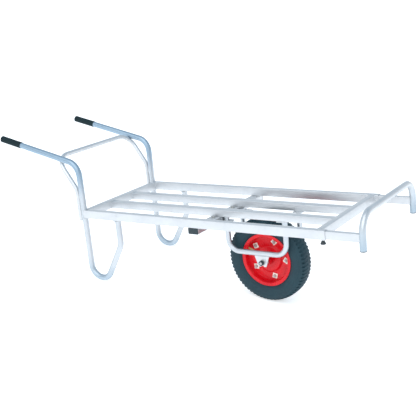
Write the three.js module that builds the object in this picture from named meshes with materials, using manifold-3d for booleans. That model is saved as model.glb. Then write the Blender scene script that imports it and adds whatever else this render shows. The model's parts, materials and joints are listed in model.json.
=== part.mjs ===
// One-wheel aluminium flat cart: two bent side tubes make the handles, corner posts and rear legs,
// a welded deck of rails and slats lies between them, one pneumatic wheel hangs under the deck on
// two bent hangers, and a guard hoop slides out of the side rails at the front.
//
// Everything is drawn in the deck's own frame, in millimetres: +X forward, +Y to the left, +Z out
// of the deck. X = 0 is the axis of the corner posts and Z = 0 is the top of the side rails. The
// finished deck is then tipped until the two legs and the wheel stand on level ground.

import * as THREE from 'three';
import { mergeVertices } from 'three/addons/utils/BufferGeometryUtils.js';
import Module from 'manifold-3d';

const wasm = await Module();
wasm.setup();

// ---------------------------------------------------------------- driving dimensions, millimetres

const GAP = 0.3;                    // between pieces that are welded, bolted or pressed together
const RUNNING_GAP = 0.35;           // between pieces that turn or slide on each other

// Side tubes: grip, handle, corner post and leg loop in one bent tube per side
const TUBE_DIAMETER = 25.4;
const TUBE_WALL = 2;
const POST_SPACING = 498;           // axis to axis
const HANDLE_SLOPE = THREE.MathUtils.degToRad(13.4);
const HANDLE_HEIGHT = 200.5;        // where handle and post axes cross, above the rails
const HANDLE_LENGTH = 452;          // from that crossing to the end of the grip
const HANDLE_BEND = 65;
const LEG_DEPTH = 308;              // axis of the loop's foot below the rail tops
const LEG_SPREAD = 184;             // rear tube to front tube of the loop
const LEG_BEND = 55;
const LEG_FLAT = 2;                 // straight stretch at the foot
const LEG_SLANT = THREE.MathUtils.degToRad(59.3);
const KNEE_BEND = 60;

// Grips
const GRIP_WALL = 1.5;
const GRIP_LENGTH = 120;
const GRIP_END = 5;                 // thickness of the closed end
const GRIP_ROUND = 2;               // chamfer of the closed end

// Brace hoop: up behind both posts, out to the handles and across, its corner bends tucked in
// under the handles
const BRACE_DIAMETER = 20;
const BRACE_WALL = 1.8;
const BRACE_FOOT = 50;              // open ends below the rail tops
const BRACE_KNEE = 86;              // knees above the rail tops
const BRACE_REACH = 119;            // crossbar behind the posts, level with the handles' axes
const BRACE_KNEE_BEND = 60;

// Deck
const RAIL_WIDTH = 25;
const RAIL_HEIGHT = 36;
const RAIL_WALL = 2;
const RAIL_LENGTH = 1158;           // corner post axis to the rails' front ends
const CROSS_WIDTH = 25;
const REAR_CROSS_CENTRE = 11;       // ahead of the post axis
const FRONT_CROSS_SETBACK = 27.5;   // behind the rails' front ends
const SLAT_WIDTH = 34;
const SLAT_DROP = 6.5;              // slat tops below the rail tops
const SLAT_SPACING = 152;
const SLAT_WALL = 2;

// Front guard
const SLIDE_FIT = 0.6;              // slide tube to rail bore, each side
const SLIDE_WALL = 2;
const SLIDE_LENGTH = 400;
const GUARD_REACH = 141;            // post axis ahead of the rails' front ends
const GUARD_HEIGHT = 65;            // top bar's axis above the rail tops
const GUARD_DROP = 66;              // lower ends below the rail tops
const GUARD_BEND = 70;
const PLUG_RIM = 2.5;
const PLUG_DEPTH = 14;
const PLUG_CHAMFER = 1;

// Lock knobs under the rails' front ends
const KNOB_SETBACK = 14;            // behind the rails' front ends
const KNOB_DIAMETER = 21;
const KNOB_TOP_DIAMETER = 10;
const KNOB_HEIGHT = 15;
const KNOB_RIM = 4;                 // height of the straight rim below the cone
const KNOB_CHAMFER = 1.5;
const STUD_DIAMETER = 6;
const BOSS_DIAMETER = 13;
const BOSS_HEIGHT = 3.5;

// Cross member behind the wheel
const MEMBER_CENTRE = 578.5;
const MEMBER_WIDTH = 46;
const MEMBER_HEIGHT = 25;
const MEMBER_WALL = 2;
const MEMBER_CAP = 4;
const MEMBER_CAP_DEPTH = 12;
const MEMBER_BOLT_OFFSET = 32;      // to each side of a slat's middle
const MEMBER_BOLT_DIAMETER = 8;
const MEMBER_BOLT_FLATS = 13;
const MEMBER_BOLT_HEAD = 5.5;
const MEMBER_BOLT_NUT = 6.5;
const BOLT_END = 3;                 // thread standing out of a nut
const HEAD_ROOT = 1;                // shank let into its head

// Leg tabs
const TAB_LENGTH = 34;
const TAB_WIDTH = 20;
const TAB_THICKNESS = 3;
const RIVET_DIAMETER = 9;
const RIVET_HEIGHT = 2.2;
const RIVET_DEPTH = 16;             // below the rail top

// Wheel hangers
const HANGER_DIAMETER = 22.2;
const HANGER_WALL = 2;
const HANGER_CLEARANCE = 9.9;       // tube to the tyre's side
const HANGER_LENGTH = 272;          // rear leg to front leg
const HANGER_DEPTH = 189;           // lower axis below the rail tops
const HANGER_BEND = 50;
const PLATE_THICKNESS = 4;
const PLATE_MARGIN = 10;            // round a hanger tube
const BRACKET_THICKNESS = 5;
const BRACKET_TOP_WIDTH = 68;
const BRACKET_FOOT_WIDTH = 36;
const BRACKET_FOOT = 18;            // below the axle

// Wheel
const WHEEL_FORWARD = 154.1;        // axle ahead of the hangers' rear legs
const AXLE_DROP = 28.4;             // axle below the hangers' undersides
const TYRE_RADIUS = 180;
const TYRE_WIDTH = 82;
const TREAD_THICKNESS = 13;
const SIDEWALL_THICKNESS = 5;
const BEAD_THICKNESS = 9;
const BEAD_RADIUS = 101.6;
const FLANGE_HEIGHT = 11.9;         // rim flange above the bead seat
const RIM_WIDTH = 64;
const RIM_SHEET = 2;
const BOWL_DEPTH = 6;               // bead seat to the flat of the disc
const DISC_OFFSET = 9;              // disc at the hub, out from the wheel's middle
const DISC_STEP = 0.41;             // start and end of the step in the disc, as shares of the
const DISC_STEP_END = 0.52;         //   way from the hub to the bowl
const RIM_BOLT_COUNT = 5;
const RIM_BOLT_START = THREE.MathUtils.degToRad(-3);
const RIM_BOLT_DIAMETER = 8;
const RIM_BOLT_HEAD = 5;
const RIM_BOLT_NUT = 6;
const SQUARE_WASHER = 0.62;         // side, as a share of the flat it sits on
const SQUARE_WASHER_THICKNESS = 2;
const WASHER_TURN = 0.5;            // each washer's own turn from the radius through it, radians
const TUBE_CLEARANCE = 4;           // inner tube to the tyre's inside
const TUBE_RUBBER = 2;              // wall of the inner tube
const HUB_RADIUS = 22;
const HUB_LENGTH = 80;
const AXLE_DIAMETER = 12;
const AXLE_END = 1.5;               // beyond each nut
const BEARING_DIAMETER = 32;
const BEARING_WIDTH = 10;
const BEARING_SHOULDER = 3;         // step that the bearing rests on, above the axle
const SPACER_DIAMETER = 18;
const AXLE_NUT_FLATS = 19;
const AXLE_NUT_HEIGHT = 10;
const WASHER_DIAMETER = 26;
const WASHER_THICKNESS = 2.5;
const VALVE_ANGLE = THREE.MathUtils.degToRad(155);
const VALVE_DIAMETER = 8;
const VALVE_WALL = 1;
const VALVE_LENGTH = 44;
const VALVE_OFFSET = 0.68;          // towards the wheel's right, as a share of the room to the
                                    //   bead or in the inner tube, whichever is less

// Facets round a bent tube, steps along a bend, facets round the wheel, the inner tube and its
// section, the hub, the turned pieces and the small holes
const TUBE_SIDES = 10;
const BEND_STEPS = 5;
const WHEEL_SIDES = 32;
const INNER_TUBE_SIDES = 24;
const SECTION_SIDES = 8;
const HUB_SIDES = 28;
const SHAFT_SIDES = 20;
const KNOB_SIDES = 16;
const BOLT_SIDES = 12;
const OVERSHOOT = 1;                // a cutter's length beyond the faces it cuts

// ---------------------------------------------------------------- sizes worked out from those

const tubeRadius = TUBE_DIAMETER / 2;
const braceRadius = BRACE_DIAMETER / 2;
const hangerRadius = HANGER_DIAMETER / 2;
const postY = POST_SPACING / 2;
const slatY = SLAT_SPACING / 2;
const hangerY = TYRE_WIDTH / 2 + HANGER_CLEARANCE + hangerRadius;
const slideWidth = RAIL_WIDTH - 2 * (RAIL_WALL + SLIDE_FIT);
const slideHeight = RAIL_HEIGHT - 2 * (RAIL_WALL + SLIDE_FIT);
const guardX = RAIL_LENGTH + GUARD_REACH;
const knobX = RAIL_LENGTH - KNOB_SETBACK;
const frontCrossCentre = RAIL_LENGTH - FRONT_CROSS_SETBACK;
const memberTop = -RAIL_HEIGHT - GAP;
const memberBottom = memberTop - MEMBER_HEIGHT;
const hangerRearX = MEMBER_CENTRE + MEMBER_WIDTH / 2 + GAP + hangerRadius;
const hangerFrontX = hangerRearX + HANGER_LENGTH;
const slatBottom = -RAIL_HEIGHT;
const tubeBore = (tubeRadius - TUBE_WALL) * Math.cos(Math.PI / TUBE_SIDES);
const wheelX = hangerRearX + WHEEL_FORWARD;
const wheelDepth = HANGER_DEPTH + hangerRadius + AXLE_DROP;
const rimRadius = BEAD_RADIUS + FLANGE_HEIGHT;
const bowlRadius = BEAD_RADIUS - BOWL_DEPTH;
const flatInner = HUB_RADIUS + DISC_STEP_END * (bowlRadius - HUB_RADIUS);
const rimBoltRadius = (flatInner + bowlRadius) / 2;
const squareWasher = SQUARE_WASHER * (bowlRadius - flatInner);
const innerTubeCentre = (TYRE_RADIUS - TREAD_THICKNESS + BEAD_RADIUS + TUBE_CLEARANCE) / 2;
const innerTubeRadius = Math.min(
  TYRE_WIDTH / 2 - SIDEWALL_THICKNESS, TYRE_RADIUS - TREAD_THICKNESS - innerTubeCentre,
) - TUBE_CLEARANCE;
const beadFace = RIM_WIDTH / 2 - RIM_SHEET - GAP;
const valveOffset = VALVE_OFFSET * Math.min(beadFace - BEAD_THICKNESS, innerTubeRadius);

// ---------------------------------------------------------------- materials

const material = (color, roughness, metalness) =>
  new THREE.MeshStandardMaterial({ color, roughness, metalness });

const aluminium = material(0xdfe4e9, 0.35, 0.9);
const rubber = material(0x1b2226, 0.85, 0);
const tyreRubber = material(0x25343a, 0.9, 0);
const redSteel = material(0xd4141f, 0.35, 0.1);
const zincSteel = material(0xd9dad5, 0.4, 0.8);
const darkSteel = material(0x3b3f42, 0.5, 0.8);
const blackPlastic = material(0x20272b, 0.6, 0);
const brass = material(0xc9b27a, 0.4, 0.8);
const bearingSteel = material(0xa9adb0, 0.3, 0.9);

// ---------------------------------------------------------------- shape helpers

const vector = (x, y, z) => new THREE.Vector3(x, y, z);

function circlePoints(radius, sides) {
  const points = [];
  for (let i = 0; i < sides; i += 1) {
    const angle = (2 * Math.PI * (i + 0.5)) / sides;
    points.push(new THREE.Vector2(radius * Math.cos(angle), radius * Math.sin(angle)));
  }
  return points;
}

function ringShape(radius, wall, sides) {
  const shape = new THREE.Shape(circlePoints(radius, sides));
  shape.holes.push(new THREE.Path(circlePoints(radius - wall, sides)));
  return shape;
}

function rectanglePoints(width, height) {
  return [[-1, -1], [1, -1], [1, 1], [-1, 1]].map(
    ([x, y]) => new THREE.Vector2((x * width) / 2, (y * height) / 2),
  );
}

// A path of straight stretches joined by round bends, sampled only where it turns.
class BentPath extends THREE.Curve {
  constructor(corners, bends, bendSteps = BEND_STEPS) {
    super();
    this.stations = [];
    const last = corners.length - 1;
    const heading = (i) => corners[i + 1].clone().sub(corners[i]).normalize();
    this.stations.push({ point: corners[0], tangent: heading(0) });
    for (let i = 1; i < last; i += 1) {
      const into = heading(i - 1);
      const out = heading(i);
      const turn = into.angleTo(out);
      const axis = into.clone().cross(out).normalize();
      const setback = bends[i - 1] * Math.tan(turn / 2);
      const start = corners[i].clone().addScaledVector(into, -setback);
      const centre = start.clone().addScaledVector(axis.clone().cross(into), bends[i - 1]);
      for (let k = 0; k <= bendSteps; k += 1) {
        const angle = (turn * k) / bendSteps;
        const point = start.clone().sub(centre).applyAxisAngle(axis, angle).add(centre);
        this.stations.push({ point, tangent: into.clone().applyAxisAngle(axis, angle) });
      }
    }
    this.stations.push({ point: corners[last], tangent: heading(last - 1) });
  }

  get steps() {
    return this.stations.length - 1;
  }

  getPoint(t, target = new THREE.Vector3()) {
    const place = t * this.steps;
    const i = Math.min(Math.floor(place), this.steps - 1);
    return target.lerpVectors(this.stations[i].point, this.stations[i + 1].point, place - i);
  }

  getPointAt(t, target) {
    return this.getPoint(t, target);
  }

  getTangentAt(t, target = new THREE.Vector3()) {
    return target.copy(this.stations[Math.round(t * this.steps)].tangent);
  }
}

function bentTube(corners, bends, radius, wall, sides = TUBE_SIDES) {
  const path = new BentPath(corners, bends);
  return new THREE.ExtrudeGeometry(ringShape(radius, wall, sides), {
    steps: path.steps,
    extrudePath: path,
    bevelEnabled: false,
  });
}

// A rectangular tube along +X from x = 0, its section centred on the axis.
function boxTube(length, width, height, wall) {
  const shape = new THREE.Shape(rectanglePoints(width, height));
  shape.holes.push(new THREE.Path(rectanglePoints(width - 2 * wall, height - 2 * wall)));
  const geometry = new THREE.ExtrudeGeometry(shape, { depth: length, bevelEnabled: false });
  return geometry.rotateX(Math.PI / 2).rotateZ(Math.PI / 2);
}

// A prism of a plane outline given as [x, z] pairs, centred on y = 0.
function plateXZ(outline, thickness) {
  const shape = new THREE.Shape(outline.map(([x, z]) => new THREE.Vector2(x, z)));
  const geometry = new THREE.ExtrudeGeometry(shape, { depth: thickness, bevelEnabled: false });
  return geometry.rotateX(Math.PI / 2).translate(0, thickness / 2, 0);
}

// A turned piece about the Y axis, from a profile of [radius, y] pairs.
function turned(profile, sides) {
  const points = profile.map(([radius, y]) => new THREE.Vector2(radius, y));
  return new THREE.LatheGeometry(points, sides);
}

// A closed turned ring: its profile returns to its first point.
function turnedRing(profile, sides) {
  return turned([...profile, profile[0]], sides);
}

function cylinderY(radius, from, to, sides) {
  return new THREE.CylinderGeometry(radius, radius, to - from, sides)
    .translate(0, (from + to) / 2, 0);
}

function cylinderZ(radius, from, to, sides) {
  return cylinderY(radius, from, to, sides).rotateX(Math.PI / 2);
}

// A cylinder along a radius of the wheel, at an angle from +X towards +Z, off to one side by y.
function radialCylinder(radius, from, to, angle, y, sides) {
  return cylinderZ(radius, from, to, sides).rotateY(Math.PI / 2 - angle).translate(0, y, 0);
}

// Hexagonal prism along Z, sized across its flats.
function hexZ(flats, from, to) {
  return cylinderZ(flats / Math.sqrt(3), from, to, 6);
}

function toSolid(geometry) {
  const bare = geometry.clone();
  bare.deleteAttribute('normal');
  bare.deleteAttribute('uv');
  const merged = mergeVertices(bare, 1e-4);
  const mesh = new wasm.Mesh({
    numProp: 3,
    vertProperties: merged.attributes.position.array,
    triVerts: Uint32Array.from(merged.index.array),
  });
  return new wasm.Manifold(mesh);
}

function toGeometry(solid) {
  const { vertProperties, triVerts } = solid.getMesh();
  const geometry = new THREE.BufferGeometry();
  geometry.setAttribute('position', new THREE.BufferAttribute(new Float32Array(vertProperties), 3));
  geometry.setIndex(new THREE.BufferAttribute(new Uint32Array(triVerts), 1));
  geometry.computeVertexNormals();
  return geometry;
}

const cut = (geometry, ...tools) =>
  toGeometry(tools.reduce((solid, tool) => solid.subtract(toSolid(tool)), toSolid(geometry)));

const join = (geometry, ...others) =>
  toGeometry(others.reduce((solid, other) => solid.add(toSolid(other)), toSolid(geometry)));

// ---------------------------------------------------------------- assembly

const cart = new THREE.Group();
const deck = new THREE.Group();
cart.add(deck);

function addMesh(name, geometry, surface, place = [0, 0, 0]) {
  const mesh = new THREE.Mesh(geometry, surface);
  mesh.name = name;
  mesh.position.set(...place);
  deck.add(mesh);
  return mesh;
}

// The two sides of the cart: +Y is left, -Y is right.
const SIDES = [['left', 1], ['right', -1]];

function addSideTubes() {
  const footCorner = LEG_BEND * (1 + Math.tan(LEG_SLANT / 2)) + LEG_FLAT;
  const kneeDepth = LEG_DEPTH - (LEG_SPREAD - footCorner) * Math.tan(LEG_SLANT);
  const inGrip = HANDLE_LENGTH - GRIP_END - GAP;
  const corners = [
    vector(-inGrip * Math.cos(HANDLE_SLOPE), 0, HANDLE_HEIGHT + inGrip * Math.sin(HANDLE_SLOPE)),
    vector(0, 0, HANDLE_HEIGHT),
    vector(0, 0, -LEG_DEPTH),
    vector(footCorner, 0, -LEG_DEPTH),
    vector(LEG_SPREAD, 0, -kneeDepth),
    vector(LEG_SPREAD, 0, -RAIL_HEIGHT - TAB_THICKNESS - 2 * GAP),
  ];
  const bends = [HANDLE_BEND, LEG_BEND, LEG_BEND, KNEE_BEND];
  for (const [side, sign] of SIDES) {
    const tube = bentTube(corners, bends, tubeRadius, TUBE_WALL);
    addMesh(`side_tube_${side}`, tube, aluminium, [0, sign * postY, 0]);
  }
}

function addGrips() {
  const bore = tubeRadius + GAP;
  const outer = bore + GRIP_WALL;
  const profile = [
    [0, 0], [outer - GRIP_ROUND, 0], [outer, GRIP_ROUND], [outer, GRIP_LENGTH], [bore, GRIP_LENGTH],
    [bore, GRIP_END], [0, GRIP_END],
  ];
  const endX = -HANDLE_LENGTH * Math.cos(HANDLE_SLOPE);
  const endZ = HANDLE_HEIGHT + HANDLE_LENGTH * Math.sin(HANDLE_SLOPE);
  for (const [side, sign] of SIDES) {
    const grip = addMesh(`grip_${side}`, turned(profile, KNOB_SIDES), rubber, [endX, sign * postY, endZ]);
    grip.rotation.z = -Math.PI / 2;
    grip.rotation.order = 'YZX';
    grip.rotation.y = HANDLE_SLOPE;
  }
}

// How near a quarter bend of radius 1 comes to a line through its corner that stands at an angle
// to the bend's first leg, square to the second.
function bendApproach(angle) {
  let nearest = 1;
  for (let turn = 0; turn < Math.PI / 2; turn += 0.01) {
    const aside = (1 - Math.sin(turn)) * Math.sin(angle);
    nearest = Math.min(nearest, Math.hypot(aside, 1 - Math.cos(turn)));
  }
  return nearest;
}

function addBraceHoop() {
  const apart = tubeRadius + braceRadius + GAP;
  const barZ = HANDLE_HEIGHT + BRACE_REACH * Math.tan(HANDLE_SLOPE);
  const half = [
    vector(-apart, postY, -BRACE_FOOT),
    vector(-apart, postY, BRACE_KNEE),
    vector(-BRACE_REACH, postY, barZ),
  ];
  const legSlope = Math.atan2(barZ - BRACE_KNEE, BRACE_REACH - apart);
  const cornerBend = apart / bendApproach(legSlope - HANDLE_SLOPE);
  const mirrored = half.map((point) => vector(point.x, -point.y, point.z)).reverse();
  const bends = [BRACE_KNEE_BEND, cornerBend, cornerBend, BRACE_KNEE_BEND];
  addMesh('brace_hoop', bentTube([...half, ...mirrored], bends, braceRadius, BRACE_WALL), aluminium);
}

// What a tube standing across the rails takes out of the pieces that meet it.
function postCutter() {
  return cylinderZ(tubeRadius + GAP, -2 * RAIL_HEIGHT, RAIL_HEIGHT, HUB_SIDES);
}

function addSideRails() {
  const studHole = cylinderZ(
    STUD_DIAMETER / 2 + GAP, -RAIL_HEIGHT - OVERSHOOT, -RAIL_HEIGHT + RAIL_WALL + OVERSHOOT, KNOB_SIDES,
  ).translate(knobX, 0, 0);
  const tube = boxTube(RAIL_LENGTH, RAIL_WIDTH, RAIL_HEIGHT, RAIL_WALL)
    .translate(0, 0, -RAIL_HEIGHT / 2);
  for (const [side, sign] of SIDES) {
    addMesh(`side_rail_${side}`, cut(tube, postCutter(), studHole), aluminium, [0, sign * postY, 0]);
  }
}

function addCrossRails() {
  const end = postY - RAIL_WIDTH / 2 - GAP;
  const posts = SIDES.map(([, sign]) => postCutter().translate(0, sign * postY, 0));
  for (const [name, centre] of [['rear', REAR_CROSS_CENTRE], ['front', frontCrossCentre]]) {
    const tube = boxTube(2 * end, CROSS_WIDTH, RAIL_HEIGHT, RAIL_WALL)
      .rotateZ(Math.PI / 2)
      .translate(centre, -end, -RAIL_HEIGHT / 2);
    addMesh(`${name}_cross_rail`, cut(tube, ...posts), aluminium);
  }
}

function addSlats() {
  const from = REAR_CROSS_CENTRE + CROSS_WIDTH / 2 + GAP;
  const to = frontCrossCentre - CROSS_WIDTH / 2 - GAP;
  const height = RAIL_HEIGHT - SLAT_DROP;
  for (const [side, sign] of SIDES) {
    const tube = boxTube(to - from, SLAT_WIDTH, height, SLAT_WALL);
    addMesh(`slat_${side}`, tube, aluminium, [from, sign * slatY, -SLAT_DROP - height / 2]);
  }
}

function addLegTabs() {
  const tab = new THREE.BoxGeometry(TAB_LENGTH, TAB_WIDTH, TAB_THICKNESS);
  const rivet = turned(
    [[0, 0], [RIVET_DIAMETER / 2, 0], [RIVET_DIAMETER / 3, RIVET_HEIGHT], [0, RIVET_HEIGHT]], BOLT_SIDES);
  const tabX = LEG_SPREAD - TAB_LENGTH / 2 + tubeRadius;
  const tabZ = -RAIL_HEIGHT - GAP - TAB_THICKNESS / 2;
  const faceY = postY + RAIL_WIDTH / 2 + GAP;
  for (const [side, sign] of SIDES) {
    addMesh(`leg_tab_${side}`, tab, aluminium, [tabX, sign * postY, tabZ]);
    const head = addMesh(`leg_rivet_${side}`, rivet, aluminium, [LEG_SPREAD, sign * faceY, -RIVET_DEPTH]);
    if (sign < 0) head.rotation.x = Math.PI;
  }
}

function addGuard() {
  const corners = [
    vector(0, -postY, -GUARD_DROP),
    vector(0, -postY, GUARD_HEIGHT),
    vector(0, postY, GUARD_HEIGHT),
    vector(0, postY, -GUARD_DROP),
  ];
  const hoop = bentTube(corners, [GUARD_BEND, GUARD_BEND], tubeRadius, TUBE_WALL);
  addMesh('guard_hoop', hoop, aluminium, [guardX, 0, 0]);

  const slide = cut(
    boxTube(SLIDE_LENGTH, slideWidth, slideHeight, SLIDE_WALL).translate(0, 0, -RAIL_HEIGHT / 2),
    postCutter().translate(SLIDE_LENGTH, 0, 0),
  );
  const bore = tubeBore - GAP;
  const plug = turned(
    [[0, 0], [tubeRadius - PLUG_CHAMFER, 0], [tubeRadius, PLUG_CHAMFER], [tubeRadius, PLUG_RIM],
      [bore, PLUG_RIM], [bore, PLUG_RIM + PLUG_DEPTH], [0, PLUG_RIM + PLUG_DEPTH]],
    KNOB_SIDES,
  ).rotateX(Math.PI / 2);
  for (const [side, sign] of SIDES) {
    addMesh(`slide_tube_${side}`, slide, aluminium, [guardX - SLIDE_LENGTH, sign * postY, 0]);
    const plugZ = -GUARD_DROP - GAP - PLUG_RIM;
    addMesh(`guard_plug_${side}`, plug, blackPlastic, [guardX, sign * postY, plugZ]);
  }
}

function addLockKnobs() {
  const slideBottom = -(RAIL_HEIGHT + slideHeight) / 2;
  const bossTop = -RAIL_HEIGHT - GAP;
  const bossBottom = bossTop - BOSS_HEIGHT;
  const stud = STUD_DIAMETER / 2;
  const knobTop = bossBottom - GAP;
  const boss = cut(
    cylinderZ(BOSS_DIAMETER / 2, bossBottom, bossTop, KNOB_SIDES),
    cylinderZ(stud + GAP, bossBottom - OVERSHOOT, bossTop + OVERSHOOT, KNOB_SIDES),
  );
  const rim = KNOB_DIAMETER / 2;
  const studTop = slideBottom - GAP - knobTop + KNOB_HEIGHT;
  const knob = turned(
    [[0, 0], [rim - KNOB_CHAMFER, 0], [rim, KNOB_CHAMFER], [rim, KNOB_RIM],
      [KNOB_TOP_DIAMETER / 2, KNOB_HEIGHT], [stud, KNOB_HEIGHT], [stud, studTop], [0, studTop]],
    KNOB_SIDES,
  ).rotateX(Math.PI / 2);
  for (const [side, sign] of SIDES) {
    addMesh(`lock_boss_${side}`, boss, aluminium, [knobX, sign * postY, 0]);
    addMesh(`lock_knob_${side}`, knob, blackPlastic, [knobX, sign * postY, knobTop - KNOB_HEIGHT]);
  }
}

// Bolts of the cross member, one to each side of each slat, as [x, y].
function memberBoltPlaces() {
  return [slatY + MEMBER_BOLT_OFFSET, slatY - MEMBER_BOLT_OFFSET,
    -slatY + MEMBER_BOLT_OFFSET, -slatY - MEMBER_BOLT_OFFSET].map((y) => [MEMBER_CENTRE, y]);
}

function memberBoltHoles(from, to) {
  return memberBoltPlaces().map(([x, y]) =>
    cylinderZ(MEMBER_BOLT_DIAMETER / 2 + GAP, from, to, KNOB_SIDES).translate(x, y, 0));
}

function addCrossMember() {
  const end = postY + RAIL_WIDTH / 2 - MEMBER_CAP;
  const holes = memberBoltHoles(memberBottom - OVERSHOOT, memberTop + OVERSHOOT);
  const tube = boxTube(2 * end, MEMBER_WIDTH, MEMBER_HEIGHT, MEMBER_WALL)
    .rotateZ(Math.PI / 2)
    .translate(MEMBER_CENTRE, -end, memberTop - MEMBER_HEIGHT / 2);
  addMesh('wheel_cross_member', cut(tube, ...holes), aluminium);

  const insideWidth = MEMBER_WIDTH - 2 * (MEMBER_WALL + GAP);
  const insideHeight = MEMBER_HEIGHT - 2 * (MEMBER_WALL + GAP);
  const cap = join(
    new THREE.BoxGeometry(MEMBER_WIDTH, MEMBER_CAP, MEMBER_HEIGHT)
      .translate(0, MEMBER_CAP / 2 + GAP, 0),
    new THREE.BoxGeometry(insideWidth, MEMBER_CAP_DEPTH + MEMBER_CAP, insideHeight)
      .translate(0, (MEMBER_CAP - MEMBER_CAP_DEPTH) / 2, 0),
  );
  for (const [side, sign] of SIDES) {
    const place = [MEMBER_CENTRE, sign * end, memberTop - MEMBER_HEIGHT / 2];
    const mesh = addMesh(`member_cap_${side}`, cap, rubber, place);
    if (sign < 0) mesh.rotation.z = Math.PI;
  }

  const nutTop = memberBottom - PLATE_THICKNESS - 2 * GAP;
  const shank = MEMBER_BOLT_DIAMETER / 2;
  const headBottom = memberTop + GAP;
  const bolt = join(
    cylinderZ(shank, nutTop - MEMBER_BOLT_NUT - BOLT_END, headBottom + HEAD_ROOT, BOLT_SIDES),
    hexZ(MEMBER_BOLT_FLATS, headBottom, headBottom + MEMBER_BOLT_HEAD),
    hexZ(MEMBER_BOLT_FLATS, nutTop - MEMBER_BOLT_NUT, nutTop),
  );
  memberBoltPlaces().forEach(([x, y], i) => {
    addMesh(`member_bolt_${i + 1}`, bolt, zincSteel, [x, y, 0]);
  });
}

function addHangers() {
  const top = slatBottom - PLATE_THICKNESS - 2 * GAP;
  const corners = [
    vector(hangerRearX, 0, top),
    vector(hangerRearX, 0, -HANGER_DEPTH),
    vector(hangerFrontX, 0, -HANGER_DEPTH),
    vector(hangerFrontX, 0, top),
  ];
  const hanger = bentTube(corners, [HANGER_BEND, HANGER_BEND], hangerRadius, HANGER_WALL);

  // Top plates close the front legs against the slats; the rear plates are bolted under the member.
  const outerY = slatY + SLAT_WIDTH / 2;
  const innerY = hangerY - hangerRadius - PLATE_MARGIN / 2;
  const topPlate = new THREE.BoxGeometry(HANGER_DIAMETER + 2 * PLATE_MARGIN, outerY - innerY, PLATE_THICKNESS);
  const footRear = MEMBER_CENTRE - MEMBER_WIDTH / 2 + PLATE_MARGIN;
  const footFront = hangerRearX + hangerRadius + PLATE_MARGIN;
  const footOuter = slatY + MEMBER_BOLT_OFFSET + PLATE_MARGIN;
  const footInner = slatY - MEMBER_BOLT_OFFSET - PLATE_MARGIN;
  const footZ = memberBottom - GAP - PLATE_THICKNESS / 2;
  for (const [side, sign] of SIDES) {
    addMesh(`wheel_hanger_${side}`, hanger, aluminium, [0, sign * hangerY, 0]);
    const plateY = (sign * (outerY + innerY)) / 2;
    addMesh(`hanger_top_plate_${side}`, topPlate, aluminium,
      [hangerFrontX, plateY, slatBottom - GAP - PLATE_THICKNESS / 2]);
    const foot = new THREE.BoxGeometry(footFront - footRear, footOuter - footInner, PLATE_THICKNESS)
      .translate((footFront + footRear) / 2, (sign * (footOuter + footInner)) / 2, footZ);
    const through = [footZ - PLATE_THICKNESS, footZ + PLATE_THICKNESS];
    const legHole = cylinderZ(hangerRadius + GAP, ...through, HUB_SIDES)
      .translate(hangerRearX, sign * hangerY, 0);
    addMesh(`hanger_foot_plate_${side}`, cut(foot, legHole, ...memberBoltHoles(...through)), aluminium);
  }
}

function addAxleBrackets() {
  const top = -HANGER_DEPTH - hangerRadius - GAP;
  const bottom = -wheelDepth - BRACKET_FOOT;
  const slot = AXLE_DIAMETER / 2 + GAP;
  const outline = [
    [-BRACKET_TOP_WIDTH / 2, top], [BRACKET_TOP_WIDTH / 2, top],
    [BRACKET_FOOT_WIDTH / 2, bottom], [-BRACKET_FOOT_WIDTH / 2, bottom],
  ];
  const plate = cut(
    plateXZ(outline, BRACKET_THICKNESS),
    cylinderY(slot, -BRACKET_THICKNESS, BRACKET_THICKNESS, SHAFT_SIDES).translate(0, 0, -wheelDepth),
    new THREE.BoxGeometry(2 * slot, 2 * BRACKET_THICKNESS, 2 * BRACKET_FOOT)
      .translate(0, 0, -wheelDepth - BRACKET_FOOT),
  );
  for (const [side, sign] of SIDES) {
    addMesh(`axle_bracket_${side}`, plate, aluminium, [wheelX, sign * hangerY, 0]);
  }
}

function addAxle() {
  const axleRadius = AXLE_DIAMETER / 2;
  const centre = [wheelX, 0, -wheelDepth];
  const ring = (outer, from, to) => turnedRing(
    [[axleRadius + GAP, from], [outer, from], [outer, to], [axleRadius + GAP, to]], SHAFT_SIDES);
  const plateInner = hangerY - BRACKET_THICKNESS / 2;
  const plateOuter = hangerY + BRACKET_THICKNESS / 2;
  const spacer = ring(SPACER_DIAMETER / 2, HUB_LENGTH / 2 + RUNNING_GAP, plateInner - GAP);
  const washerFrom = plateOuter + GAP;
  const washer = ring(WASHER_DIAMETER / 2, washerFrom, washerFrom + WASHER_THICKNESS);
  const nutFrom = washerFrom + WASHER_THICKNESS + GAP;
  const nutTo = nutFrom + AXLE_NUT_HEIGHT;
  const nut = cut(
    cylinderY(AXLE_NUT_FLATS / Math.sqrt(3), nutFrom, nutTo, 6),
    cylinderY(axleRadius + GAP, nutFrom - OVERSHOOT, nutTo + OVERSHOOT, SHAFT_SIDES),
  );
  const end = nutTo + AXLE_END;
  addMesh('axle', cylinderY(axleRadius, -end, end, SHAFT_SIDES), zincSteel, centre);
  for (const [side, sign] of SIDES) {
    const pieces = [['axle_spacer', spacer, zincSteel], ['axle_washer', washer, zincSteel],
      ['axle_nut', nut, darkSteel]];
    for (const [name, geometry, surface] of pieces) {
      const mesh = addMesh(`${name}_${side}`, geometry, surface, centre);
      if (sign < 0) mesh.rotation.x = Math.PI;
    }
  }
}

// ---------------------------------------------------------------- wheel, drawn about its own axle

const wheelCentre = [wheelX, 0, -wheelDepth];

function mirrorProfile(profile) {
  return profile.map(([radius, y]) => [radius, -y]).reverse();
}

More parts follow.
